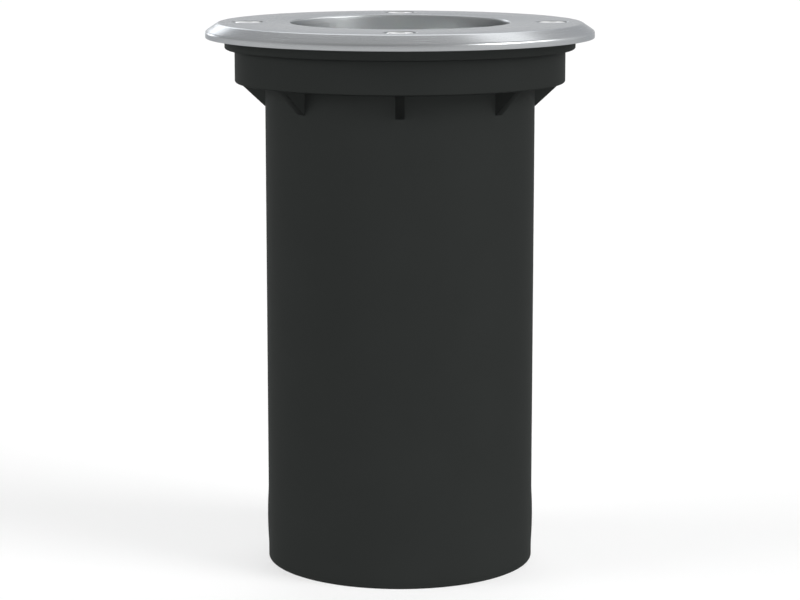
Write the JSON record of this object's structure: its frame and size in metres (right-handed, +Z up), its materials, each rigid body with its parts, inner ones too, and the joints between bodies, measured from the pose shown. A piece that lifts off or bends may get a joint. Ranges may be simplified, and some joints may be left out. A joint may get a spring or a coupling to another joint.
{
  "type": "in-ground light",
  "caption": "Round recessed ground light: black mounting sleeve with a gusseted collar, drop-in lamp housing, and a stainless steel cover ring with glass held by screws.",
  "frame": {"origin": "middle of the sleeve's base, on the surface it stands on", "axes": "+Z up along the sleeve's axis, -Y towards the viewer of the picture, +X to the right"},
  "size_m": [0.11, 0.11, 0.155],
  "materials": {
    "sleeve_plastic": "satin moulded",
    "stainless_steel": "fine satin brushed",
    "screw_steel": "bright turned",
    "zinc_steel": "zinc plated",
    "brass": "turned",
    "black_rubber": "matt",
    "clear_glass": "polished",
    "cast_aluminium": "cast and lightly blasted",
    "bright_aluminium": "spun bright",
    "white_ceramic": "unglazed",
    "terminal_plastic": "moulded",
    "gland_plastic": "moulded",
    "brown_insulation": "smooth",
    "blue_insulation": "smooth",
    "earth_insulation": "green with a yellow stripe",
    "lamp_white": "satin",
    "lamp_diffuser": "frosted",
    "lamp_board": "white board with yellow chips"
  },
  "bodies": {
    "sleeve": {"mounting_sleeve": "sleeve_plastic", "screw_inserts": "brass", "rim_gasket": "black_rubber"},
    "luminaire": {"lamp_housing": "cast_aluminium", "reflector": "bright_aluminium", "holder_bracket": "zinc_steel", "bracket_screws": "zinc_steel", "lamp_holder": "white_ceramic", "holder_contacts": "brass", "holder_screws": "zinc_steel", "terminal_block": "terminal_plastic", "terminal_barrels": "brass", "terminal_screws": "zinc_steel", "terminal_fixing_screw": "zinc_steel", "live_lead": "brown_insulation", "neutral_lead": "blue_insulation", "earth_lead": "earth_insulation", "earth_tag": "brass", "earth_screw": "zinc_steel", "gland_body": "gland_plastic", "gland_washer": "black_rubber", "gland_locknut": "gland_plastic", "gland_seal": "black_rubber"},
    "lamp": {"lamp_shell": "lamp_white", "lamp_lens": "lamp_diffuser", "lamp_pins": "brass", "led_board": "lamp_board"},
    "clamp_nut": {"gland_nut": "gland_plastic"},
    "cover": {"cover_ring": "stainless_steel", "glass_lens": "clear_glass", "glass_gasket": "black_rubber"},
    "screw_right": {"cover_screw_right": "screw_steel"},
    "screw_back": {"cover_screw_back": "screw_steel"},
    "screw_left": {"cover_screw_left": "screw_steel"},
    "screw_front": {"cover_screw_front": "screw_steel"}
  },
  "joints": [
    {"name": "luminaire_lift", "type": "slide", "parent": "sleeve", "child": "luminaire", "axis": [0, 0, 1], "range_m": [0, 0.14]},
    {"name": "cover_lift", "type": "slide", "parent": "luminaire", "child": "cover", "axis": [0, 0, 1], "range_m": [0, 0.06]},
    {"name": "lamp_twist", "type": "hinge", "parent": "luminaire", "child": "lamp", "pos_m": [0, 0, 0.08], "axis": [0, 0, 1], "range_deg": [0, 40]},
    {"name": "gland_nut_turn", "type": "hinge", "parent": "luminaire", "child": "clamp_nut", "pos_m": [0, 0, 0.023], "axis": [0, 0, 1], "continuous": true},
    {"name": "cover_screw_right_turn", "type": "hinge", "parent": "cover", "child": "screw_right", "pos_m": [0.043, 0, 0.15], "axis": [0, 0, 1], "continuous": true},
    {"name": "cover_screw_back_turn", "type": "hinge", "parent": "cover", "child": "screw_back", "pos_m": [0, 0.043, 0.15], "axis": [0, 0, 1], "continuous": true},
    {"name": "cover_screw_left_turn", "type": "hinge", "parent": "cover", "child": "screw_left", "pos_m": [-0.043, 0, 0.15], "axis": [0, 0, 1], "continuous": true},
    {"name": "cover_screw_front_turn", "type": "hinge", "parent": "cover", "child": "screw_front", "pos_m": [0, -0.043, 0.15], "axis": [0, 0, 1], "continuous": true}
  ]
}
